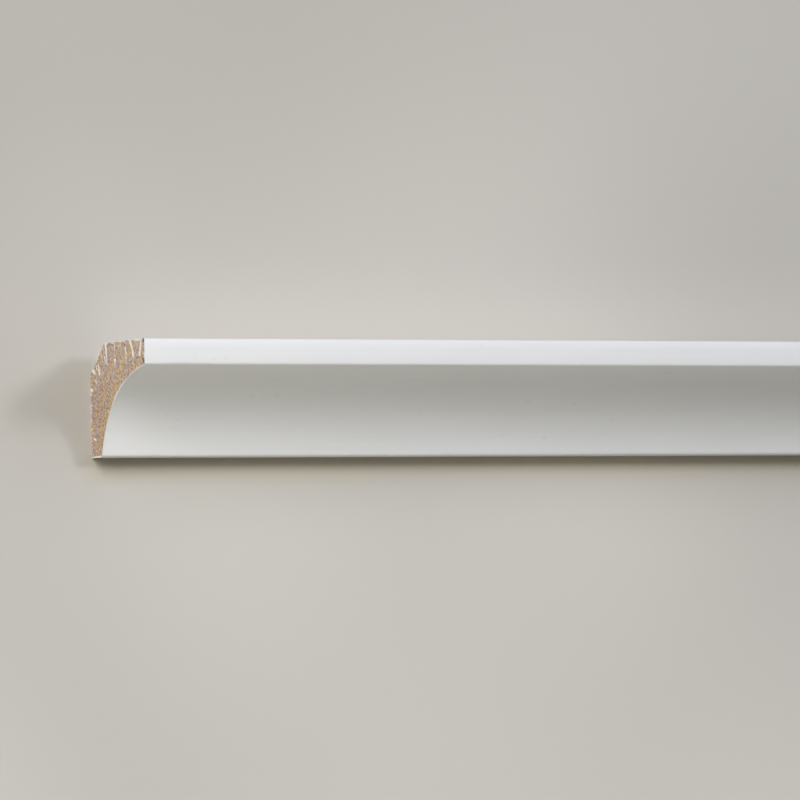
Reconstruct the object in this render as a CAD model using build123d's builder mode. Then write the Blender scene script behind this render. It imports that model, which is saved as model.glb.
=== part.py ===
"""Inside corner moulding: one length of cove (scotia) moulding, run from a single piece of pine.

It lies as it would unheld on a level floor: foot down, upright at the rear, cove facing up and forward.
+X runs along the length, +Y to the rear and +Z up. The origin is the middle of the underside.
"""

from build123d import *
import os

# Driving dimensions, in millimetres
length = 2400.0  # the length it is sold in
foot_width = 21.0  # front of the foot to the rear face
upright_height = 21.0  # underside to the top of the upright
foot_lip = 4.0  # thickness of the foot at its front edge
upright_lip = 5.0  # thickness of the upright at its top edge
heel_chamfer = 5.5  # cut off each leg at the heel, so the moulding seats in an uneven corner
cove_radius = 19.5  # radius of the hollow face
seen_arris_radius = 0.6  # easing where the cove meets each lip
hidden_arris_radius = 0.4  # easing where each lip meets the surface that the moulding is fixed to

# Places worked out from the sizes, across the section as (y, z)
front_y = -foot_width / 2
rear_y = foot_width / 2
foot_front = (front_y, 0)
foot_cove_edge = (front_y, foot_lip)
upright_cove_edge = (rear_y - upright_lip, upright_height)
upright_rear = (rear_y, upright_height)
heel_rear = (rear_y, heel_chamfer)
heel_under = (rear_y - heel_chamfer, 0)


def corners_at(*places):
    """The corners of the section at the given (y, z) places."""
    return [section.vertices().sort_by_distance(place)[0] for place in places]


with BuildPart() as cove_moulding:
    with BuildSketch(Plane.YZ) as section:
        with BuildLine():
            Line(foot_front, foot_cove_edge)
            RadiusArc(foot_cove_edge, upright_cove_edge, -cove_radius)
            Polyline(upright_cove_edge, upright_rear, heel_rear, heel_under, foot_front)
        make_face()
        fillet(corners_at(foot_cove_edge, upright_cove_edge), seen_arris_radius)
        fillet(corners_at(foot_front, upright_rear), hidden_arris_radius)
    extrude(amount=length / 2, both=True)

cove_moulding.part.label = "cove_moulding"

os.makedirs("parts", exist_ok=True)
export_step(cove_moulding.part, "parts/cove_moulding.step")
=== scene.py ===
"""Looks of the inside corner moulding: pine under satin white paint, sawn bare at both ends.

Objects are in metres in the part's own frame, while the shaping and the materials work in millimetres: x runs
along the length, y to the rear and z up. The near cut end is at the lowest x.
"""

import math

import bpy
import numpy as np
from mathutils import Matrix, Vector


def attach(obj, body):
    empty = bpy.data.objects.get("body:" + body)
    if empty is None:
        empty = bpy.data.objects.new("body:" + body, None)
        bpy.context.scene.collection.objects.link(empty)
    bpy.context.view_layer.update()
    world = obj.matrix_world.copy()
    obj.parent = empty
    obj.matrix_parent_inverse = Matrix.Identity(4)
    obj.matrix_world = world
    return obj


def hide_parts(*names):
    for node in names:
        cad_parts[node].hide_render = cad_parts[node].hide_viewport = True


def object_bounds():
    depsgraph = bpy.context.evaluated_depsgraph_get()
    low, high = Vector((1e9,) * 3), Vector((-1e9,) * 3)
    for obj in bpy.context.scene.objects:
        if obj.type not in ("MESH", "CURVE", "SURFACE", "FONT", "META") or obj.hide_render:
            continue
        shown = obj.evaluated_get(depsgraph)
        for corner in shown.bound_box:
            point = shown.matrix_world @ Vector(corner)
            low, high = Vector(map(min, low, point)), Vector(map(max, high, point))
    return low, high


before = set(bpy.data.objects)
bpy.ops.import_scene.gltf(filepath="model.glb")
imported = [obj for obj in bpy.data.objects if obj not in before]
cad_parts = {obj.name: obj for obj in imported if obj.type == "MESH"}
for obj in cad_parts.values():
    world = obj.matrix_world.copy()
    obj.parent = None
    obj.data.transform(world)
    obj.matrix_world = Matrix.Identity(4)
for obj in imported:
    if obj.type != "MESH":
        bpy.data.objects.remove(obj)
cad_low, cad_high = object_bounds()

MM = 0.001

# The section in millimetres: its reach comes from the frame, and the rest are the section's own sizes
HALF_LENGTH = cad_high.x / MM
HALF_WIDTH = cad_high.y / MM
HEIGHT = cad_high.z / MM
FOOT_LIP = 4.0
UPRIGHT_LIP = 5.0
HEEL_CHAMFER = 5.5
COVE_RADIUS = 19.5
SEEN_ARRIS = 0.6
HIDDEN_ARRIS = 0.4


# Numbers that several parts use


def smooth_step(low, high, value):
    """0 below low, 1 above high, and 3 t squared less 2 t cubed between them."""
    t = np.clip((value - low) / (high - low), 0, 1)
    return t * t * (3 - 2 * t)


def lattice_noise(a, b, seed):
    """Smooth noise from -1 to 1: seeded values at whole numbers of a and b, and between them blends.

    A blend's share is 3 t squared less 2 t cubed, where t is how far the point is on the way.
    """
    size = 512
    values = np.random.default_rng(seed).uniform(-1, 1, (size, size))
    a, b = np.broadcast_arrays(np.asarray(a, float), np.asarray(b, float))
    row, column = np.floor(a).astype(int), np.floor(b).astype(int)
    down, across = a - row, b - column
    down, across = down * down * (3 - 2 * down), across * across * (3 - 2 * across)
    row, row_after, column, column_after = row % size, (row + 1) % size, column % size, (column + 1) % size
    low = values[row, column] * (1 - down) + values[row_after, column] * down
    high = values[row, column_after] * (1 - down) + values[row_after, column_after] * down
    return low * (1 - across) + high * across


def bell(value, middle, reach):
    """A bell curve: e to the power of minus the square of (value less middle, over reach)."""
    return np.exp(-((value - middle) / reach) ** 2)


# The section's outline


def line(start, end):
    """A straight run: start plus t times the way to end."""
    start, end = np.array(start, float), np.array(end, float)
    return lambda t: start + np.outer(t, end - start)


def arc(centre, radius, from_angle, to_angle):
    """A round run: the centre plus the radius times (cosine, sine) of an angle that changes evenly."""
    def at(t):
        angle = from_angle + t * (to_angle - from_angle)
        return np.array(centre) + radius * np.column_stack([np.cos(angle), np.sin(angle)])
    return at


def cove_centre():
    """The cove's centre: the chord's middle, moved square to the chord towards the open side.

    The move is the root of the radius squared less half the chord squared.
    """
    foot_edge = np.array([-HALF_WIDTH, FOOT_LIP])
    upright_edge = np.array([HALF_WIDTH - UPRIGHT_LIP, HEIGHT])
    chord = upright_edge - foot_edge
    half_chord = np.hypot(*chord) / 2
    to_open_side = np.array([-chord[1], chord[0]]) / (2 * half_chord)
    return (foot_edge + upright_edge) / 2 + to_open_side * math.sqrt(COVE_RADIUS ** 2 - half_chord ** 2)


CENTRE_Y, CENTRE_Z = cove_centre()

# Steps along each run of the outline, and how many finer steps the cut ends take in each of them
ARRIS_STEPS = 3
LIP_STEPS = 10
COVE_STEPS = 54
BACK_STEPS = 22
CHAMFER_STEPS = 10
FINE = 5


def trace(side):
    """The points along a chain of runs: each run at equal steps of t, FINE of them for each of its steps."""
    points = [run(np.arange(steps * FINE) / (steps * FINE)) for run, steps in side]
    return np.vstack(points + [side[-1][0](np.ones(1))])


def outline_sides():
    """The outline as four chains of runs from the middle of one arris to the middle of the next.

    Each seen arris touches a lip's face and the cove's circle, so its centre is its own radius inside the lip
    and its own radius more than the cove's from the cove's centre.
    """
    reach = COVE_RADIUS + SEEN_ARRIS
    foot_arris_y = -HALF_WIDTH + SEEN_ARRIS
    foot_arris = (foot_arris_y, CENTRE_Z - math.sqrt(reach ** 2 - (foot_arris_y - CENTRE_Y) ** 2))
    top_arris_z = HEIGHT - SEEN_ARRIS
    top_arris = (CENTRE_Y + math.sqrt(reach ** 2 - (top_arris_z - CENTRE_Z) ** 2), top_arris_z)
    foot_turn = math.atan2(CENTRE_Z - foot_arris[1], CENTRE_Y - foot_arris[0])
    top_turn = math.atan2(CENTRE_Z - top_arris[1], CENTRE_Y - top_arris[0])
    front_arris = (-HALF_WIDTH + HIDDEN_ARRIS, HIDDEN_ARRIS)
    rear_arris = (HALF_WIDTH - HIDDEN_ARRIS, HEIGHT - HIDDEN_ARRIS)
    down, left, up = -math.pi / 2, -math.pi, math.pi / 2

    lip = [
        (arc(front_arris, HIDDEN_ARRIS, (down + left) / 2, left), ARRIS_STEPS),
        (line((-HALF_WIDTH, HIDDEN_ARRIS), (-HALF_WIDTH, foot_arris[1])), LIP_STEPS),
        (arc(foot_arris, SEEN_ARRIS, math.pi, (math.pi + foot_turn) / 2), ARRIS_STEPS),
    ]
    cove = [
        (arc(foot_arris, SEEN_ARRIS, (math.pi + foot_turn) / 2, foot_turn), ARRIS_STEPS),
        (arc((CENTRE_Y, CENTRE_Z), COVE_RADIUS, foot_turn - math.pi, top_turn - math.pi), COVE_STEPS),
        (arc(top_arris, SEEN_ARRIS, top_turn, (up + top_turn) / 2), ARRIS_STEPS),
    ]
    top = [
        (arc(rear_arris, HIDDEN_ARRIS, up / 2, up), ARRIS_STEPS),
        (line((rear_arris[0], HEIGHT), (top_arris[0], HEIGHT)), LIP_STEPS),
        (arc(top_arris, SEEN_ARRIS, up, (up + top_turn) / 2), ARRIS_STEPS),
    ]
    back = [
        (arc(front_arris, HIDDEN_ARRIS, (down + left) / 2, down), ARRIS_STEPS),
        (line((front_arris[0], 0), (HALF_WIDTH - HEEL_CHAMFER, 0)), BACK_STEPS),
        (line((HALF_WIDTH - HEEL_CHAMFER, 0), (HALF_WIDTH, HEEL_CHAMFER)), CHAMFER_STEPS),
        (line((HALF_WIDTH, HEEL_CHAMFER), (HALF_WIDTH, rear_arris[1])), BACK_STEPS),
        (arc(rear_arris, HIDDEN_ARRIS, 0, up / 2), ARRIS_STEPS),
    ]
    return [trace(side) for side in (lip, cove, top, back)]


LIP, COVE, TOP, BACK = outline_sides()
SIDE_BACK, SIDE_TOP, SIDE_COVE, SIDE_LIP = range(4)
# Once round the outline from the foot's front arris: along the back, over the top, down the cove and the lip
RING = np.vstack([BACK[:-1], TOP[:-1], COVE[::-1][:-1], LIP[::-1][:-1]])
SIDES = (SIDE_BACK, SIDE_TOP, SIDE_COVE, SIDE_LIP)
RING_SIDE = np.repeat(SIDES, [len(BACK) - 1, len(TOP) - 1, len(COVE) - 1, len(LIP) - 1])
RING_RUN = np.concatenate([[0], np.cumsum(np.linalg.norm(np.diff(RING, axis=0), axis=1))])
RING_SHARE = RING_RUN / (RING_RUN[-1] + np.linalg.norm(RING[0] - RING[-1]))


def ring_normals():
    """Outward normals of the ring: the way from the point before to the one after, turned clockwise."""
    tangent = np.roll(RING, -1, axis=0) - np.roll(RING, 1, axis=0)
    normal = np.column_stack([tangent[:, 1], -tangent[:, 0]])
    return normal / np.linalg.norm(normal, axis=1, keepdims=True)


RING_NORMAL = ring_normals()


# The sawn ends

# Smears of paint that the saw dragged over the near end: start and end as (up from the underside, back from
# the front), then half the width at each, in millimetres
NEAR_SMEARS = [
    ((5.75, 21.0), (6.3, 17.0), 0.40, 0.19),
    ((5.3, 18.4), (5.7, 17.2), 0.18, 0.10),
    ((15.2, 21.0), (15.9, 19.6), 0.43, 0.32),
    ((16.1, 19.5), (16.4, 17.9), 0.28, 0.30),
    ((19.5, 20.4), (19.0, 18.1), 0.20, 0.34),
    ((2.85, 17.0), (3.3, 15.4), 0.22, 0.32),
    ((9.3, 17.7), (9.45, 16.2), 0.17, 0.10),
    ((9.15, 20.6), (9.2, 19.5), 0.18, 0.10),
    ((13.5, 19.6), (13.8, 17.2), 0.15, 0.10),
    ((0.7, 16.2), (1.3, 15.6), 0.40, 0.28),
    ((1.5, 18.0), (1.9, 17.3), 0.20, 0.16),
    ((2.7, 18.3), (2.75, 18.1), 0.20, 0.16),
    ((0.15, 12.6), (0.45, 12.4), 0.30, 0.18),
    ((1.75, 14.4), (1.9, 13.8), 0.16, 0.12),
    ((0.9, 3.5), (1.5, 3.3), 0.20, 0.16),
    ((2.0, 16.9), (2.2, 16.2), 0.12, 0.10),
    ((17.3, 20.9), (19.2, 20.7), 0.30, 0.24),
    ((20.7, 18.1), (20.95, 17.3), 0.14, 0.22),
]


def far_smears():
    """Smears for the far end: seeded ones that start on the rear face and run down the saw's way."""
    dice = np.random.default_rng(71)
    starts = np.sort(dice.uniform(6.0, 20.0, 7))
    runs = dice.uniform(0.6, 3.6, 7)
    widths = dice.uniform(0.12, 0.34, 7)
    rear = 2 * HALF_WIDTH
    return [
        ((start, rear), (start + 0.12 * run, rear - run), width, 0.6 * width)
        for start, run, width in zip(starts, runs, widths)
    ]


def smear_cover(up, back, smears):
    """How far inside the nearest smear a point is: the smear's half width there less its distance."""
    cover = np.full(up.shape, -1.0)
    for (up_start, back_start), (up_end, back_end), wide_start, wide_end in smears:
        way_up, way_back = up_end - up_start, back_end - back_start
        t = ((up - up_start) * way_up + (back - back_start) * way_back) / (way_up ** 2 + way_back ** 2)
        t = np.clip(t, 0, 1)
        away = np.hypot(up - up_start - t * way_up, back - back_start - t * way_back)
        cover = np.maximum(cover, wide_start + t * (wide_end - wide_start) - away)
    return cover


# The paint film's cut edge on each face: its width in millimetres, and how far it wanders from it
LIP_FILM = (0.26, 0.06)
COVE_FILM = (0.14, 0.03)
TOP_FILM = (0.12, 0.14)
REAR_FILM = (0.27, 0.16)
HEEL_FILM = (0.02, 0.24)
UNDERSIDE_FILM = (-0.07, 0.20)
# On the cove the film swells at half height: by how much, at what height and over what reach
COVE_SWELL = 0.42
SWELL_HEIGHT = 10.0
SWELL_REACH = 2.6
# Near the foot it fades: by how much, and the heights where this starts and is full
FOOT_FADE = 0.12
FADE_HEIGHTS = (7.0, 5.0)


def film_width(seed):
    """Width of the paint film's cut edge round the ring.

    On the cove it is thin, plus a bell curve at half height, less a fade near the foot. Elsewhere it is
    ragged, wide on the rear face and narrow on the underside.
    """
    y, z = RING.T
    wobble = lattice_noise(RING_RUN * 1.3, seed, seed + 1)
    wobble = wobble + 0.6 * lattice_noise(RING_RUN * 4.1, seed, seed + 2)
    lip, cove, top, rear, heel, underside = (
        width + wander * wobble
        for width, wander in (LIP_FILM, COVE_FILM, TOP_FILM, REAR_FILM, HEEL_FILM, UNDERSIDE_FILM)
    )
    cove = cove + COVE_SWELL * bell(z, SWELL_HEIGHT, SWELL_REACH) - FOOT_FADE * smooth_step(*FADE_HEIGHTS, z)
    on_back = RING_SIDE == SIDE_BACK
    on_rear = on_back & (y > HALF_WIDTH - 0.01)
    on_underside = on_back & (z < 0.01)
    width = np.where(RING_SIDE == SIDE_COVE, cove, lip)
    width = np.where(RING_SIDE == SIDE_TOP, top, width)
    width = np.where(on_back, heel, width)
    width = np.where(on_rear, rear, width)
    return np.where(on_underside, underside, width)


def end_grid():
    """The cut end as a grid between the outline's four sides, a Coons patch.

    It is the straight blend of back to cove, plus the straight blend of lip to top, less the corners' blend.
    """
    u = np.linspace(0, 1, len(BACK))[:, None, None]
    v = np.linspace(0, 1, len(LIP))[None, :, None]
    between_long = (1 - v) * BACK[:, None] + v * COVE[:, None]
    between_short = (1 - u) * LIP[None] + u * TOP[None]
    corners = (1 - u) * (1 - v) * BACK[0] + u * (1 - v) * BACK[-1] + (1 - u) * v * COVE[0] + u * v * COVE[-1]
    return between_long + between_short - corners


def nearest_on_ring(points):
    """For each point, the number of the ring's nearest point and how far off it is."""
    nearest = np.empty(len(points), int)
    away = np.empty(len(points))
    for part in np.array_split(np.arange(len(points)), 24):
        gap = np.hypot(points[part, None, 0] - RING[None, :, 0], points[part, None, 1] - RING[None, :, 1])
        nearest[part] = gap.argmin(1)
        away[part] = gap.min(1)
    return nearest, away


# Depths below the true end in millimetres: the rim's, how much deeper the wood is, what the saw's scratches,
# torn fibres and pits add to it, how much a smear of paint fills, and the least that is left
RIM_DEPTH = 0.02
WOOD_DEPTH = 0.095
SCRATCH_DEPTH = 0.018
TORN_DEPTH = 0.07
PIT_DEPTH = 0.06
SMEAR_FILL = 0.035
LEAST_DEPTH = 0.004
# How far in from the rim the wood reaches its depth
RIM_REACH = 0.35


def cut_end(seed, smears):
    """A cut end's grid, its depth below the true end in millimetres, and how far inside the paint a point is.

    The depth is fine saw scratches across the section, plus torn fibres, plus pits, all fading out at the
    rim, and less where a smear of paint lies on the wood. The paint is the film's width less the distance
    from the outline, or the smears' own cover where that is more.
    """
    grid = end_grid()
    back, up = grid[..., 0] + HALF_WIDTH, grid[..., 1]
    nearest, away = nearest_on_ring(grid.reshape(-1, 2))
    nearest, away = nearest.reshape(up.shape), away.reshape(up.shape)
    painted = np.maximum(film_width(seed)[nearest] - away, smear_cover(up, back, smears))

    across = up - 0.12 * back
    scratch = lattice_noise(across * 5.0, back * 0.22, seed + 3)
    scratch = scratch + 0.7 * lattice_noise(across * 11, back * 0.5, seed + 4)
    torn = smooth_step(0.25, 0.9, lattice_noise(across * 2.6, back * 0.9, seed + 5))
    pits = smooth_step(0.3, 1.0, lattice_noise(up * 4.2, back * 2.2, seed + 6))
    inside = smooth_step(0.0, RIM_REACH, away)
    relief = WOOD_DEPTH + SCRATCH_DEPTH * scratch + TORN_DEPTH * torn + PIT_DEPTH * pits
    depth = RIM_DEPTH + relief * inside - SMEAR_FILL * smooth_step(-0.05, 0.12, painted)
    return grid, np.clip(depth, LEAST_DEPTH, None), painted


# The whole length as one closed surface

# Distances from a cut end, in millimetres, of the fine rings that the end's grid joins, and of coarse ones
FINE_RINGS = np.array([0.12, 0.3, 0.6, 1.0])
NEAR_RINGS = np.concatenate([[1.6], np.arange(3.0, 10.0, 1.0), np.arange(10.0, 170.0, 2.0)])
MIDDLE_RINGS = 50
# Where along the ring the upright's seen arris, the foot's and the rear arris are
SEEN_ARRIS_RUN = RING_RUN[len(BACK) + len(TOP) - 2]
FOOT_ARRIS_RUN = RING_RUN[len(BACK) + len(TOP) + len(COVE) - 3]
REAR_ARRIS_RUN = RING_RUN[len(BACK) - 1]


def stations():
    """Places along the length of the coarse rings: close together by both ends and wider apart between."""
    start, end = -HALF_LENGTH + NEAR_RINGS, HALF_LENGTH - NEAR_RINGS[::-1]
    step = NEAR_RINGS[-1]
    middle = np.linspace(-HALF_LENGTH + step, HALF_LENGTH - step, MIDDLE_RINGS)[1:-1]
    return np.concatenate([start, middle, end])


# The painted face lies inside the true section by this mean depth in millimetres, and the cutter's and the
# brush's lines, slow waves, flow marks and the beads on the upright's seen arris swing it by so much
PAINT_DEPTH = 0.022
LINE_SWING = 0.006
WAVE_SWING = 0.008
FLOW_SWING = 0.004
BEAD_SWING = 0.05
# Where the face falls away by an arris: its place round the ring, how much and over what reach
SHOULDERS = ((REAR_ARRIS_RUN, 0.11, 0.9), (SEEN_ARRIS_RUN, 0.08, 1.0), (FOOT_ARRIS_RUN, 0.08, 1.0))
# The beads' reach round the ring, and their middle and reach along the length from the near end
BEAD_REACH = 0.35
BEAD_MIDDLE = 9.0
BEAD_RUN = 5.0


def paint_relief(run, along):
    """How far the painted face lies inside the true section, in millimetres.

    It is lines left lengthwise by the cutter and the brush, as noise that changes fast across the section and
    slowly along it, plus slow waves in the paint's thickness. The surface falls away as a bell curve by each
    seen arris and the rear one, and gathered paint makes small waves on the upright's seen arris that die out
    15 mm from the near end.
    """
    lines = lattice_noise(run * 1.1, along / 260, 11) + 0.5 * lattice_noise(run * 2.7, along / 140, 12)
    waves = lattice_noise(run * 0.35, along / 17, 13)
    flow = lattice_noise(run * 0.8, along / 6.5, 14)
    shoulder = sum(depth * bell(run, place, reach) for place, depth, reach in SHOULDERS)
    gathered = bell(run, SEEN_ARRIS_RUN, BEAD_REACH) * bell(along, BEAD_MIDDLE, BEAD_RUN)
    bead = BEAD_SWING * gathered * (1 + lattice_noise(along / 1.1, 0.5, 15))
    return PAINT_DEPTH + LINE_SWING * lines + WAVE_SWING * waves + FLOW_SWING * flow + shoulder + bead


# The saw went through slightly out of square, so that each end's rear falls short by this share of the width
OUT_OF_SQUARE = 0.0136
SQUARE_AGAIN = 30.0


def saw_skew(along, y):
    """How far a point moves towards the middle of the length, to follow the skewed saw cut.

    It is a share of the distance from the front at the ends, and falls evenly to nothing 30 mm from them.
    """
    from_end = HALF_LENGTH - np.abs(along)
    fade = np.clip(1 - from_end / SQUARE_AGAIN, 0, 1)
    return -np.sign(along) * OUT_OF_SQUARE * fade * (y + HALF_WIDTH)


def rings_at(places, step):
    """Rings of the outline at places along the length, each point moved in along its normal by the relief."""
    points, normals, run = RING[::step], RING_NORMAL[::step], RING_RUN[::step]
    along, run = np.meshgrid(places, run, indexing="ij")
    inwards = paint_relief(run, along + HALF_LENGTH)
    section = points[None] - inwards[..., None] * normals[None]
    along = along + saw_skew(along, section[..., 0])
    return np.concatenate([along[..., None], section], axis=2)


def fan(fine, coarse):
    """Triangles from a ring of FINE points a step to a coarse ring, half of a step's to each coarse point."""
    steps = len(coarse)
    next_coarse = np.roll(coarse, -1)
    half = FINE // 2 + 1
    wrapped = np.append(fine, fine[0])
    parts = []
    for k in range(FINE):
        start, end = wrapped[k:k + FINE * steps:FINE], wrapped[k + 1:k + 1 + FINE * steps:FINE]
        parts.append(np.column_stack([start, end, coarse if k < half else next_coarse]))
    middle = wrapped[half:half + FINE * steps:FINE]
    parts.append(np.column_stack([middle, next_coarse, coarse]))
    return np.vstack(parts)


def skin(rings):
    """Quads between each ring and the next, the first ring being at the lowest x."""
    low, high = rings[:-1], rings[1:]
    quads = np.stack([low, np.roll(low, -1, axis=1), np.roll(high, -1, axis=1), high], axis=-1)
    return quads.reshape(-1, 4)


def grid_quads(number, faces_low_x):
    """Quads of a grid of vertex numbers, wound to face -x or +x."""
    a, b, c, d = number[:-1, :-1], number[1:, :-1], number[1:, 1:], number[:-1, 1:]
    quads = np.stack([a, d, c, b] if faces_low_x else [a, b, c, d], axis=-1)
    return quads.reshape(-1, 4)


def rim_of(number):
    """The vertex numbers on a grid's rim, in the ring's order."""
    return np.concatenate([number[:-1, 0], number[-1, :-1], number[::-1, -1][:-1], number[0, ::-1][:-1]])


# The paint attribute on the long faces: seen faces have the full coat and hidden ones a thin one
FULL_COAT = 5.0
THIN_COAT = 3.0


def moulding_mesh():
    """The two cut ends and the rings between them, joined into one closed surface.

    Returns the vertices, the ends' quads, the long faces' quads and triangles, the paint attribute, and each
    vertex's share of the way round the outline.
    """
    near_grid, near_depth, near_paint = cut_end(101, NEAR_SMEARS)
    far_grid, far_depth, far_paint = cut_end(301, far_smears())
    near_x, far_x = near_depth - HALF_LENGTH, HALF_LENGTH - far_depth
    near_x = near_x + saw_skew(near_x, near_grid[..., 0])
    far_x = far_x + saw_skew(far_x, far_grid[..., 0])
    near_fine = rings_at(FINE_RINGS - HALF_LENGTH, 1)
    far_fine = rings_at(HALF_LENGTH - FINE_RINGS[::-1], 1)
    body = rings_at(stations(), FINE)

    blocks = [
        np.concatenate([near_x[..., None], near_grid], axis=2),
        np.concatenate([far_x[..., None], far_grid], axis=2),
        near_fine,
        far_fine,
        body,
    ]
    sizes = [block.shape[0] * block.shape[1] for block in blocks]
    firsts = np.concatenate([[0], np.cumsum(sizes)[:-1]])
    numbers = [
        first + np.arange(size).reshape(block.shape[:2])
        for block, size, first in zip(blocks, sizes, firsts)
    ]
    near_end, far_end, near_rings, far_rings, body_rings = numbers

    ends = np.vstack([grid_quads(near_end, True), grid_quads(far_end, False)])
    quads = np.vstack([
        skin(np.vstack([rim_of(near_end)[None], near_rings])),
        skin(body_rings),
        skin(np.vstack([far_rings, rim_of(far_end)[None]])),
    ])
    triangles = np.vstack([fan(near_rings[-1], body_rings[0]), fan(far_rings[0], body_rings[-1])[:, ::-1]])

    coat = np.where(RING_SIDE == SIDE_BACK, THIN_COAT, FULL_COAT)
    paint = [near_paint, far_paint]
    paint += [np.broadcast_to(coat[::step], block.shape[:2]) for block, step in zip(blocks[2:], (1, 1, FINE))]
    verts = np.vstack([block.reshape(-1, 3) for block in blocks])
    round_share = np.zeros(len(verts))
    for rings, step in ((near_rings, 1), (far_rings, 1), (body_rings, FINE)):
        round_share[rings] = RING_SHARE[::step]
    round_share[rim_of(near_end)] = RING_SHARE
    round_share[rim_of(far_end)] = RING_SHARE
    return verts, ends, quads, triangles, np.concatenate([values.ravel() for values in paint]), round_share


def map_places(verts, ends, long_faces, round_share):
    """Places on a flat map, one for each corner, for a copy of the piece with its colours in a picture.

    Each cut end fills a square of the map's upper half: u follows y, backwards on the near end, and v
    follows z. The long faces fill the lower half: u follows x backwards, and v the share of the way round
    the outline, which counts as 1 and not 0 on the faces that close the ring.
    """
    ends = ends.ravel()
    across, up = (verts[ends, 1] + HALF_WIDTH) / (2 * HALF_WIDTH), verts[ends, 2] / HEIGHT
    u = np.where(verts[ends, 0] < 0, 0.49 - 0.48 * across, 0.51 + 0.48 * across)
    places = [np.column_stack([u, 0.51 + 0.48 * up])]
    for faces in long_faces:
        share = round_share[faces]
        closing = np.ptp(share, axis=1, keepdims=True) > 0.5
        share = share + (closing & (share < 0.5))
        along = (verts[faces, 0] + HALF_LENGTH) / (2 * HALF_LENGTH)
        places.append(np.column_stack([0.996 - 0.992 * along.ravel(), 0.01 + 0.48 * share.ravel()]))
    return np.vstack(places)


def make_moulding():
    """The moulding as a mesh object: vertices in metres, and the paint attribute in millimetres."""
    verts, ends, quads, triangles, paint, round_share = moulding_mesh()
    mesh = bpy.data.meshes.new("painted_cove_moulding")
    mesh.vertices.add(len(verts))
    mesh.vertices.foreach_set("co", (verts * MM).astype(np.float32).ravel())
    corners = np.concatenate([ends.ravel(), quads.ravel(), triangles.ravel()])
    mesh.loops.add(len(corners))
    mesh.loops.foreach_set("vertex_index", corners.astype(np.int32))
    sizes = np.repeat([4, 4, 3], [len(ends), len(quads), len(triangles)])
    mesh.polygons.add(len(sizes))
    mesh.polygons.foreach_set("loop_start", (np.cumsum(sizes) - sizes).astype(np.int32))
    mesh.polygons.foreach_set("material_index", (np.arange(len(sizes)) < len(ends)).astype(np.int32))
    mesh.polygons.foreach_set("use_smooth", np.ones(len(sizes), bool))
    mesh.update(calc_edges=True)
    mesh.validate()
    mesh.set_sharp_from_angle(angle=math.radians(32))
    cover = mesh.attributes.new("paint_cover", "FLOAT", "POINT")
    cover.data.foreach_set("value", paint.astype(np.float32))
    flat_map = mesh.uv_layers.new(name="OFBake")
    places = map_places(verts, ends, (quads, triangles), round_share)
    flat_map.data.foreach_set("uv", places.astype(np.float32).ravel())
    piece = bpy.data.objects.new("painted_cove_moulding", mesh)
    bpy.context.scene.collection.objects.link(piece)
    return piece


# Building blocks for the materials


class Tree:
    """A node tree with short calls for the materials' nodes, whose inputs are sockets or plain values."""

    def __init__(self, nodes_and_links):
        self.nodes, self.links = nodes_and_links.nodes, nodes_and_links.links

    def add(self, kind, inputs=None, **settings):
        """A new node of that kind, with attributes set by name and inputs given by their name or number."""
        made = self.nodes.new(kind)
        made.location = (220 * (len(self.nodes) % 9), -260 * (len(self.nodes) // 9))
        for name, value in settings.items():
            setattr(made, name, value)
        for key, value in (inputs or {}).items():
            if isinstance(value, bpy.types.NodeSocket):
                self.links.new(value, made.inputs[key])
            else:
                made.inputs[key].default_value = value
        return made

    def sum(self, a, b):
        return self.add("ShaderNodeMath", {0: a, 1: b}, operation="ADD").outputs[0]

    def less(self, a, b):
        return self.add("ShaderNodeMath", {0: a, 1: b}, operation="SUBTRACT").outputs[0]

    def times(self, a, b):
        return self.add("ShaderNodeMath", {0: a, 1: b}, operation="MULTIPLY").outputs[0]

    def most(self, a, b):
        return self.add("ShaderNodeMath", {0: a, 1: b}, operation="MAXIMUM").outputs[0]

    def scaled(self, vector, factors):
        """The vector with each of its parts multiplied by its own factor."""
        return self.add("ShaderNodeVectorMath", {0: vector, 1: factors}, operation="MULTIPLY").outputs[0]

    def moved(self, vector, by):
        return self.add("ShaderNodeVectorMath", {0: vector, 1: by}, operation="ADD").outputs[0]

    def noise(self, vector, detail=2.0, roughness=0.5):
        """Noise of one cell to each unit of the vector, from 0 to 1 about a half."""
        inputs = {"Vector": vector, "Scale": 1.0, "Detail": detail, "Roughness": roughness}
        return self.add("ShaderNodeTexNoise", inputs).outputs["Fac"]

    def step(self, value, low, high):
        """0 below low, 1 above high and smooth between, or the other way round where low is the larger."""
        inputs = {"Value": value, "From Min": low, "From Max": high}
        return self.add("ShaderNodeMapRange", inputs, interpolation_type="SMOOTHSTEP").outputs["Result"]

    def range(self, value, to_low, to_high):
        """The value, from 0 to 1, spread evenly from to_low to to_high."""
        inputs = {"Value": value, "To Min": to_low, "To Max": to_high}
        return self.add("ShaderNodeMapRange", inputs).outputs["Result"]

    def mix(self, factor, a, b):
        """Colour a where the factor is 0 and b where it is 1."""
        made = self.add("ShaderNodeMix", data_type="RGBA")
        for socket, value in zip((made.inputs[0], made.inputs[6], made.inputs[7]), (factor, a, b)):
            if isinstance(value, bpy.types.NodeSocket):
                self.links.new(value, socket)
            else:
                socket.default_value = value
        return made.outputs[2]

    def shade(self, colour, factor):
        """A colour multiplied by a number."""
        return self.add("ShaderNodeVectorMath", {0: colour, "Scale": factor}, operation="SCALE").outputs[0]


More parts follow.
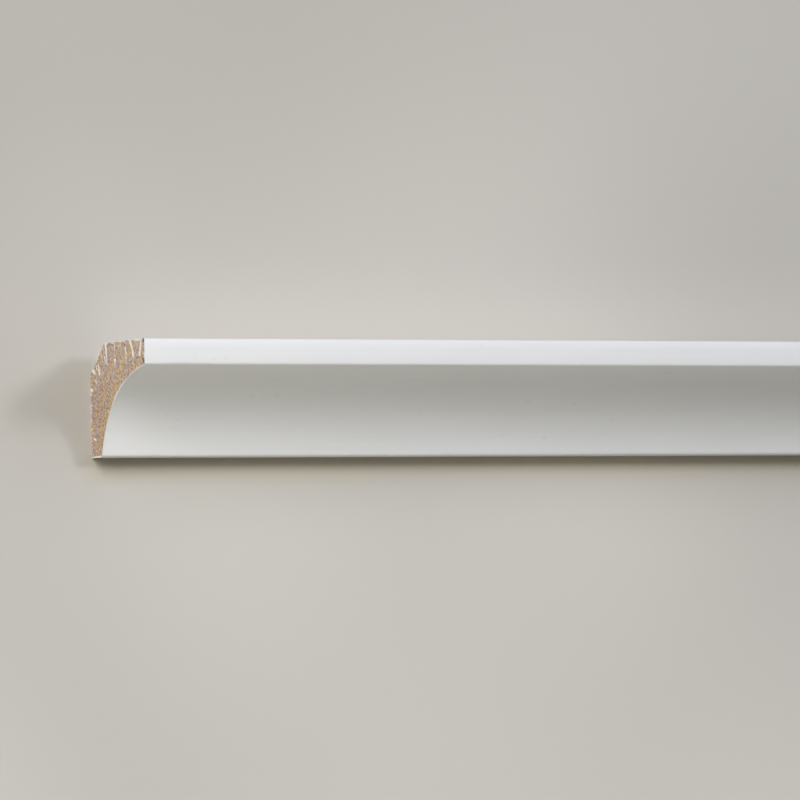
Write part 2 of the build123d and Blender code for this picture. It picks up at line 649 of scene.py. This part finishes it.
def new_group(name, inputs, outputs):
    """A shader node group with named sockets, given as (name, kind, usual value) and (name, kind)."""
    group = bpy.data.node_groups.new(name, "ShaderNodeTree")
    for label, kind, usual in inputs:
        socket = group.interface.new_socket(label, in_out="INPUT", socket_type=kind)
        if usual is not None:
            socket.default_value = usual
    for label, kind in outputs:
        group.interface.new_socket(label, in_out="OUTPUT", socket_type=kind)
    tree = Tree(group)
    return group, tree, tree.add("NodeGroupInput"), tree.add("NodeGroupOutput")


def rgb(red, green, blue):
    return (red, green, blue, 1.0)


# Pine

# The tree's heart as (y, z): so far in front of the section and over it that its rings are nearly straight
HEART = (-36.5, 61.0)
# Distances of the dark late wood of each ring from the heart, and half of its width, in millimetres
LATE_WOOD = ((56.6, 0.7), (60.5, 0.6), (64.6, 0.9), (68.2, 0.6), (72.4, 0.7), (76.3, 0.6))
RING_REACH = (54.0, 79.0)
EARLY_PINE = rgb(0.440, 0.341, 0.301)
LATE_PINE = rgb(0.512, 0.361, 0.217)
PIT_BROWN = rgb(0.200, 0.120, 0.060)


def ring_ramp(tree, distance):
    """How much late wood there is at a distance from the heart: a soft rise to each ring and a quick fall."""
    low, high = RING_REACH
    share = tree.add("ShaderNodeMapRange", {"Value": distance, "From Min": low, "From Max": high})
    made = tree.add("ShaderNodeValToRGB", {"Fac": share.outputs["Result"]})
    stops = [(low, 0.0)]
    for middle, half in LATE_WOOD:
        stops += [(middle - 2.2 * half, 0.0), (middle - 0.5 * half, 1.0), (middle + 0.7 * half, 0.9)]
        stops += [(middle + 1.2 * half, 0.0)]
    ramp = made.color_ramp.elements
    ramp.remove(ramp[1])
    for number, (place, value) in enumerate(stops):
        stop = ramp[0] if number == 0 else ramp.new((place - low) / (high - low))
        stop.position = (place - low) / (high - low)
        stop.color = (value, value, value, 1)
    return made.outputs["Color"]


def make_pine_group():
    """Sawn pine: growth rings round the heart, drawn-out speckle the way the saw ran, and small dark pits."""
    group, tree, given, gives = new_group(
        "sawn_pine_grain",
        [("Place", "NodeSocketVector", None)],
        [("Colour", "NodeSocketColor"), ("Height", "NodeSocketFloat")],
    )
    place = given.outputs["Place"]
    # The rings drift sideways by a few millimetres over the length, and waver by a fraction of one
    waver = tree.add("ShaderNodeTexNoise", {"Vector": tree.scaled(place, (0.01, 0.22, 0.22)), "Scale": 1.0})
    waver = tree.moved(waver.outputs["Color"], (-0.5, -0.5, -0.5))
    apart = tree.add("ShaderNodeSeparateXYZ", {0: place})
    drift = tree.sum(apart.outputs[0], HALF_LENGTH)
    aside = tree.add("ShaderNodeCombineXYZ", {1: tree.times(drift, 0.0016), 2: tree.times(drift, -0.0011)})
    from_heart = tree.scaled(tree.moved(place, (0, -HEART[0], -HEART[1])), (0, 1, 1))
    from_heart = tree.moved(from_heart, aside.outputs[0])
    from_heart = tree.moved(from_heart, tree.scaled(waver, (0, 1.8, 1.8)))
    distance = tree.add("ShaderNodeVectorMath", {0: from_heart}, operation="LENGTH").outputs["Value"]
    late = ring_ramp(tree, distance)

    # Speckle: short marks along y, drawn out the way the blade ran, a quarter of a millimetre wide
    turn = {"Vector": place, "Angle": math.radians(-9)}
    slant = tree.add("ShaderNodeVectorRotate", turn, rotation_type="X_AXIS").outputs[0]
    light = tree.noise(tree.scaled(slant, (0.5, 2.2, 2.8)), 3.0, 0.7)
    hue = tree.noise(tree.moved(tree.scaled(slant, (0.5, 1.0, 2.2)), (40, 7, 19)), 2.0, 0.6)
    patches = tree.noise(tree.moved(tree.scaled(place, (0.1, 0.3, 0.55)), (3, 50, 8)), 2.0, 0.5)
    pits = tree.noise(tree.moved(tree.scaled(slant, (0.5, 1.4, 2.0)), (9, 31, 77)), 1.0, 0.5)

    blend = tree.sum(tree.times(late, 0.75), tree.times(tree.less(hue, 0.5), 2.6))
    blend = tree.add("ShaderNodeClamp", {"Value": tree.sum(blend, 0.12)}).outputs[0]
    colour = tree.mix(blend, EARLY_PINE, LATE_PINE)
    bright = tree.sum(tree.range(light, -0.65, 2.68), tree.times(tree.less(patches, 0.5), 0.4))
    colour = tree.shade(colour, bright)
    pit = tree.times(tree.step(pits, 0.66, 0.80), 0.7)
    colour = tree.mix(pit, colour, PIT_BROWN)
    tree.links.new(colour, gives.inputs["Colour"])
    height = tree.less(tree.sum(light, tree.times(late, 0.25)), pit)
    tree.links.new(height, gives.inputs["Height"])
    return group


# Paint

PAINT_WHITE = rgb(0.792, 0.803, 0.824)
# Small marks in the paint by the near end, as places in millimetres from the cut end, y and z, and a radius
PAINT_MARKS = (
    ((28.5, 0.4, 9.9), 0.40),
    ((14.7, -3.8, 6.5), 0.30),
    ((31.5, 3.2, 13.8), 0.35),
    ((33.8, 0.7, 10.2), 0.45),
    ((40.7, 1.5, 11.3), 0.35),
    ((65.9, -2.2, 7.6), 0.40),
    ((88.8, -0.5, 9.0), 0.50),
    ((94.7, -7.1, 4.9), 0.45),
    ((85.2, -6.6, 5.1), 0.30),
    ((105.8, 2.1, 12.1), 0.40),
    ((109.0, -3.7, 6.6), 0.35),
    ((115.1, 4.5, 16.8), 0.70),
    ((10.75, 7.1, 21.0), 0.28),
    ((14.85, 6.7, 21.0), 0.26),
    ((17.25, 6.9, 21.0), 0.28),
    ((42.7, 7.4, 21.0), 0.22),
    ((71.9, 9.2, 21.0), 0.30),
)


def make_paint_group():
    """Satin paint: lengthwise brush lines, a slow mottle, fine orange peel, and dust specks caught in it."""
    group, tree, given, gives = new_group(
        "satin_white_paint",
        [("Place", "NodeSocketVector", None), ("Tint", "NodeSocketColor", PAINT_WHITE)],
        [("Colour", "NodeSocketColor"), ("Roughness", "NodeSocketFloat"), ("Height", "NodeSocketFloat")],
    )
    place = given.outputs["Place"]
    lines = tree.noise(tree.scaled(place, (0.012, 2.3, 2.3)), 3.0, 0.55)
    mottle = tree.noise(tree.scaled(place, (0.05, 0.22, 0.22)), 2.0, 0.5)
    peel = tree.noise(tree.scaled(place, (0.9, 2.2, 2.2)), 2.0, 0.5)

    # Dust: a few cells of a Voronoi pattern, those whose own number is high, hold a speck at their middle
    cells = tree.add("ShaderNodeTexVoronoi", {"Vector": tree.scaled(place, (0.16, 0.2, 0.2)), "Scale": 1.0})
    chosen = tree.add("ShaderNodeSeparateColor", {0: cells.outputs["Color"]}).outputs[0]
    speck = tree.times(tree.step(cells.outputs["Distance"], 0.085, 0.03), tree.step(chosen, 0.70, 0.78))

    tone = tree.sum(tree.range(mottle, 0.975, 1.025), tree.times(tree.less(lines, 0.5), 0.05))
    colour = tree.shade(given.outputs["Tint"], tree.less(tone, tree.times(speck, 0.05)))
    tree.links.new(colour, gives.inputs["Colour"])
    roughness = tree.sum(tree.range(mottle, 0.34, 0.46), tree.times(lines, 0.08))
    tree.links.new(roughness, gives.inputs["Roughness"])
    height = tree.sum(tree.times(lines, 0.55), tree.times(peel, 0.30))
    tree.links.new(tree.sum(height, tree.times(speck, 0.5)), gives.inputs["Height"])
    return group


def new_material(name):
    """A material with its Principled shader, and the place on the piece in millimetres."""
    material = bpy.data.materials.new(name)
    material.use_nodes = True
    tree = Tree(material.node_tree)
    shader = tree.nodes["Principled BSDF"]
    coordinates = tree.add("ShaderNodeTexCoord")
    place = tree.add("ShaderNodeMapping", {"Vector": coordinates.outputs["Object"], "Scale": (1 / MM,) * 3})
    return material, tree, shader, place.outputs[0]


def use_group(tree, group, **inputs):
    """A group placed in a tree, with its inputs given by name."""
    return tree.add("ShaderNodeGroup", inputs, node_tree=group).outputs


def near_spots(tree, place, spots, softness):
    """1 inside any of the given spots and 0 outside, each a ball of its own radius with a soft rim."""
    worst = None
    for centre, radius in spots:
        away = tree.add("ShaderNodeVectorMath", {0: place, 1: centre}, operation="DISTANCE").outputs["Value"]
        inside = tree.step(away, radius * (1 + softness), radius * (1 - softness))
        worst = inside if worst is None else tree.most(worst, inside)
    return worst


def make_paint_material(pine, paint):
    """The long faces: full coats on the seen ones, and one thin coat that shows some grain on the hidden."""
    material, tree, shader, place = new_material("satin_white_paint")
    coat = use_group(tree, paint, Place=place)
    wood = use_group(tree, pine, Place=place)
    cover = tree.add("ShaderNodeAttribute", attribute_name="paint_cover").outputs["Fac"]
    thin = tree.step(cover, FULL_COAT - 0.2, THIN_COAT + 0.2)
    patchy = tree.noise(tree.scaled(place, (0.02, 0.5, 0.5)), 3.0, 0.6)
    shows = tree.times(thin, tree.range(patchy, 0.02, 0.22))

    spots = [((x - HALF_LENGTH, y, z), radius) for (x, y, z), radius in PAINT_MARKS]
    mark = near_spots(tree, place, spots, 0.7)
    colour = tree.mix(shows, coat["Colour"], wood["Colour"])
    colour = tree.shade(colour, tree.range(mark, 1.0, 0.955))
    tree.links.new(colour, shader.inputs["Base Color"])
    tree.links.new(tree.sum(coat["Roughness"], tree.times(thin, 0.2)), shader.inputs["Roughness"])
    height = tree.sum(coat["Height"], tree.times(shows, wood["Height"]))
    height = tree.sum(height, tree.times(mark, 0.5))
    bump = tree.add("ShaderNodeBump", {"Height": height, "Strength": 0.35, "Distance": 0.03 * MM})
    tree.links.new(bump.outputs[0], shader.inputs["Normal"])
    return material


# Brown resin spots on the ends by the upright's two top corners, as (0, y, z) and a radius
RESIN_SPOTS = (
    ((0, 6.25, 20.6), 0.46),
    ((0, 10.0, 20.6), 0.44),
    ((0, 6.75, 20.1), 0.24),
)
RESIN_BROWN = rgb(0.170, 0.090, 0.030)
# White for the smears and dust on the ends: real paint, but painted brighter and bluer than the same paint on
# the long faces, as painted light standing in for more light on the ends
SMEAR_WHITE_WITH_PAINTED_LIGHT = rgb(0.885, 0.885, 0.905)


def make_end_material(pine, paint):
    """The sawn ends: bare pine with resin spots, smears of paint and a faint pale dust along the rear."""
    material, tree, shader, place = new_material("sawn_pine_end")
    wood = use_group(tree, pine, Place=place)
    # The smears and the dust take the white that holds painted light, brighter than the long faces' paint
    coat = use_group(tree, paint, Place=place, Tint=SMEAR_WHITE_WITH_PAINTED_LIGHT)
    cover = tree.add("ShaderNodeAttribute", attribute_name="paint_cover").outputs["Fac"]
    ragged = tree.noise(tree.scaled(place, (1.0, 3.0, 6.0)), 3.0, 0.65)
    cover = tree.sum(cover, tree.times(tree.less(ragged, 0.5), 0.42))
    painted = tree.times(tree.step(cover, -0.06, 0.08), 0.93)

    dust = tree.noise(tree.moved(tree.scaled(place, (0.3, 0.7, 2.6)), (5, 5, 60)), 3.0, 0.65)
    apart = tree.add("ShaderNodeSeparateXYZ", {0: place})
    dust = tree.times(tree.step(dust, 0.50, 0.74), tree.step(apart.outputs[1], -2.0, 9.0))
    dusty = tree.mix(tree.times(dust, 0.55), wood["Colour"], SMEAR_WHITE_WITH_PAINTED_LIGHT)
    colour = tree.mix(painted, dusty, coat["Colour"])
    spots = near_spots(tree, tree.scaled(place, (0, 1, 1)), RESIN_SPOTS, 0.35)
    stained = tree.mix(spots, colour, RESIN_BROWN)
    tree.links.new(stained, shader.inputs["Base Color"])
    tree.links.new(tree.range(painted, 0.85, 0.5), shader.inputs["Roughness"])
    height = tree.sum(wood["Height"], tree.times(painted, 0.8))
    bump = tree.add("ShaderNodeBump", {"Height": height, "Strength": 0.5, "Distance": 0.06 * MM})
    tree.links.new(bump.outputs[0], shader.inputs["Normal"])
    return material


pine_grain = make_pine_group()
satin_paint = make_paint_group()
piece = make_moulding()
piece.data.materials.append(make_paint_material(pine_grain, satin_paint))
piece.data.materials.append(make_end_material(pine_grain, satin_paint))
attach(piece, "root")
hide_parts("cove_moulding")


# The stage: floor, lamps, world and camera

FLOOR_GREY = rgb(0.627, 0.605, 0.556)
# Painted light and shade: soft patches where the floor is darker or lighter, standing in for the lamps' pools
# and falloff: middle in millimetres, radius, and the share of change
PAINTED_FLOOR_LIGHT_AND_SHADE = (
    ((-1240.0, 68.0, 0.0), 54.0, -0.185),
    ((-1045.0, 16.0, 0.0), 32.0, -0.10),
    ((-1130.0, -70.0, 0.0), 50.0, 0.085),
    ((-1120.0, 38.0, 0.0), 24.0, 0.04),
    ((-1150.0, 82.0, 0.0), 34.0, -0.085),
    ((-1045.0, -85.0, 0.0), 26.0, 0.075),
    ((-1240.0, -85.0, 0.0), 26.0, 0.15),
    ((-1172.0, -26.0, 0.0), 22.0, 0.065),
    ((-1090.0, -18.0, 0.0), 24.0, 0.055),
    ((-1205.0, 30.0, 0.0), 16.0, 0.05),
)
# Painted shadow: along the foot's front the floor is darker and browner, standing in for the shadow's brown
# tint there: the y at which this starts and is full, the two between which it ends under the foot, and how
# far before and past the cut ends it fades out
PAINTED_SHADOW_BROWN = rgb(0.593, 0.545, 0.450)
PAINTED_SHADOW_FROM = -16.5
PAINTED_SHADOW_FULL = -12.5
PAINTED_SHADOW_ENDS = (-9.0, -10.0)
PAINTED_SHADOW_BEFORE_ENDS = 1.0
PAINTED_SHADOW_PAST_ENDS = 3.0
FLOOR_RADIUS = 150.0
FLOOR_SIDES = 96


def make_floor():
    """A flat round floor, wide enough to fill every view: a fan of points at equal angles on one radius."""
    angle = np.arange(FLOOR_SIDES) * 2 * math.pi / FLOOR_SIDES
    rim = np.column_stack([FLOOR_RADIUS * np.cos(angle), FLOOR_RADIUS * np.sin(angle), np.zeros(FLOOR_SIDES)])
    mesh = bpy.data.meshes.new("studio_floor")
    mesh.from_pydata(rim.tolist(), [], [list(range(FLOOR_SIDES))])
    floor = bpy.data.objects.new("studio_floor", mesh)
    bpy.context.scene.collection.objects.link(floor)
    material, tree, shader, place = new_material("studio_floor")
    fibres = tree.noise(tree.scaled(place, (0.7, 0.7, 0.7)), 3.0, 0.6)
    clouds = tree.noise(tree.scaled(place, (0.012, 0.012, 0.012)), 2.0, 0.5)
    tone = tree.sum(tree.range(clouds, 0.985, 1.015), tree.times(tree.less(fibres, 0.5), 0.012))
    # Painted light and shade: each patch darkens or lightens the floor's colour where the lamps' light would
    # fall off or pool
    for middle, radius, change in PAINTED_FLOOR_LIGHT_AND_SHADE:
        tone = tree.sum(tone, tree.times(near_spots(tree, place, [(middle, radius)], 1.0), change))
    parts = tree.add("ShaderNodeSeparateXYZ", {0: place}).outputs
    from_middle = tree.add("ShaderNodeMath", {0: parts["X"]}, operation="ABSOLUTE").outputs[0]
    # Painted shadow: a darker, browner strip of floor along the foot's front, fading out at the cut ends
    painted_shadow = tree.times(tree.step(parts["Y"], PAINTED_SHADOW_FROM, PAINTED_SHADOW_FULL), tree.step(parts["Y"], *PAINTED_SHADOW_ENDS))
    fade = tree.step(from_middle, HALF_LENGTH + PAINTED_SHADOW_PAST_ENDS, HALF_LENGTH - PAINTED_SHADOW_BEFORE_ENDS)
    painted_shadow = tree.times(painted_shadow, fade)
    floor_and_painted_shadow = tree.mix(painted_shadow, FLOOR_GREY, PAINTED_SHADOW_BROWN)
    tree.links.new(tree.shade(floor_and_painted_shadow, tone), shader.inputs["Base Color"])
    shader.inputs["Roughness"].default_value = 0.6
    floor.data.materials.append(material)


make_floor()

WORLD_LIGHT = 0.01
BACKDROP_PALE = rgb(0.54, 0.525, 0.485)


def make_world():
    """An even dim light from all round, and a pale backdrop for the camera and for reflections."""
    world = bpy.data.worlds.new("studio")
    world.use_nodes = True
    tree = Tree(world.node_tree)
    light = tree.nodes["Background"]
    light.inputs["Color"].default_value = rgb(1, 1, 1)
    light.inputs["Strength"].default_value = WORLD_LIGHT
    backdrop = tree.add("ShaderNodeBackground", {"Color": BACKDROP_PALE, "Strength": 1.0})
    path = tree.add("ShaderNodeLightPath").outputs
    seen = tree.most(tree.most(path["Is Camera Ray"], path["Is Glossy Ray"]), path["Is Transmission Ray"])
    blend = tree.add("ShaderNodeMixShader", {0: seen, 1: light.outputs[0], 2: backdrop.outputs[0]})
    tree.links.new(blend.outputs[0], tree.nodes["World Output"].inputs["Surface"])
    bpy.context.scene.world = world


make_world()

# Far lamps, as azimuth and elevation of the light in degrees, how wide it looks, and its strength, where 1
# shows a colour as it is written
SUNS = {
    "rear_left_light": (120, 42, 28, 0.247),
    "far_left_light": (135, 45, 28, 0.174),
    "rear_right_light": (31, 46, 12, 0.180),
    "right_light": (40, 42, 40, 0.142),
}
# Near lamps, which light the near end more than the rest: azimuth, elevation, distance and width in metres,
# and strength at the spot that they point at
SOFTBOXES = {
    "left_softbox": (157.5, 36, 0.50, 0.26, 0.400),
    "front_right_softbox": (292, 36, 0.30, 0.16, 0.084),
    "front_left_softbox": (235, 36, 0.30, 0.16, 0.196),
}
# Long lamps over and before the length that the photograph's frame doesn't take in: azimuth, elevation and
# distance from a spot on the moulding, then the spot's x, the lamp's length and width in metres, and watts
LONG_SOFTBOXES = {
    "over_length_softbox": (90, 80, 0.55, 0.65, 2.20, 1.00, 2.3),
    "front_strip_softbox": (270, 36, 0.20, 0.275, 2.17, 0.14, 0.80),
}
# These light the moulding alone, so that the shadow on the floor under its front edge stays deep
MOULDING_LIGHTS = ("front_left_softbox", "front_strip_softbox")
# The lamps' tints: the far ones are a little cool and the near ones a little warm
SUN_TINT = (0.98, 0.997, 1.085)
SOFTBOX_TINT = (1.04, 1.0, 0.86)
LIT_SPOT = Vector((-HALF_LENGTH * MM + 0.05, 0.02, 0.0))


def way_to(azimuth, elevation):
    """The way to a lamp: azimuth from +x to +y, elevation over the floor, both in degrees."""
    azimuth, elevation = math.radians(azimuth), math.radians(elevation)
    level = math.cos(elevation)
    return Vector((level * math.cos(azimuth), level * math.sin(azimuth), math.sin(elevation)))


def add_lamp(name, data, way, place=Vector((0, 0, 0))):
    """A lamp that shines back along the way, and that the camera doesn't see."""
    lamp = bpy.data.objects.new(name, data)
    lamp.matrix_world = Matrix.Translation(place) @ way.to_track_quat("Z", "Y").to_matrix().to_4x4()
    lamp.visible_camera = False
    bpy.context.scene.collection.objects.link(lamp)


def make_lamps():
    """The suns, the softboxes and the long softboxes.

    A sun's full strength is pi watts a square metre, and a softbox's is pi squared times its distance squared
    in watts. The long softboxes' watts are given as they are.
    """
    for name, (azimuth, elevation, wide, strength) in SUNS.items():
        data = bpy.data.lights.new(name, "SUN")
        data.energy = math.pi * strength
        data.color = SUN_TINT
        data.angle = math.radians(wide)
        add_lamp(name, data, way_to(azimuth, elevation))
    for name, (azimuth, elevation, distance, wide, strength) in SOFTBOXES.items():
        data = bpy.data.lights.new(name, "AREA")
        data.shape = "DISK"
        data.size = wide
        data.energy = strength * math.pi ** 2 * distance ** 2
        data.color = SOFTBOX_TINT
        way = way_to(azimuth, elevation)
        add_lamp(name, data, way, LIT_SPOT + way * distance)
    for name, (azimuth, elevation, distance, middle, length, wide, watts) in LONG_SOFTBOXES.items():
        data = bpy.data.lights.new(name, "AREA")
        data.shape = "RECTANGLE"
        data.size, data.size_y = length, wide
        data.energy = watts
        data.color = SOFTBOX_TINT
        way = way_to(azimuth, elevation)
        add_lamp(name, data, way, Vector((middle, 0, 0)) + way * distance)
    lit_alone = bpy.data.collections.new("moulding_light_falls_on")
    lit_alone.objects.link(piece)
    for name in MOULDING_LIGHTS:
        bpy.data.objects[name].light_linking.receiver_collection = lit_alone


make_lamps()

SENSOR_WIDTH = 36.0
PICTURE_SIDE = 800
CAMERA_FOCAL_PIXELS = 7489.8
CAMERA_PLACE = Vector((-1.84469, -0.06711, 1.21929))
CAMERA_LOOKS = Vector((0.50301, 0.04771, -0.86296))
PICTURE_UP = Vector((-0.00054, 0.99849, 0.05489))


def make_camera():
    """The photograph's camera: its place, the way it looks and the way that is up in the picture."""
    data = bpy.data.cameras.new("camera")
    data.sensor_width = SENSOR_WIDTH
    data.lens = CAMERA_FOCAL_PIXELS / PICTURE_SIDE * SENSOR_WIDTH
    data.clip_start, data.clip_end = 0.05, 500
    camera = bpy.data.objects.new("camera", data)
    looks = CAMERA_LOOKS.normalized()
    right = looks.cross(PICTURE_UP).normalized()
    up = right.cross(looks)
    camera.matrix_world = Matrix.Translation(CAMERA_PLACE) @ Matrix((right, up, -looks)).transposed().to_4x4()
    bpy.context.scene.collection.objects.link(camera)
    bpy.context.scene.camera = camera


make_camera()

bpy.context.scene.view_settings.view_transform = "Standard"
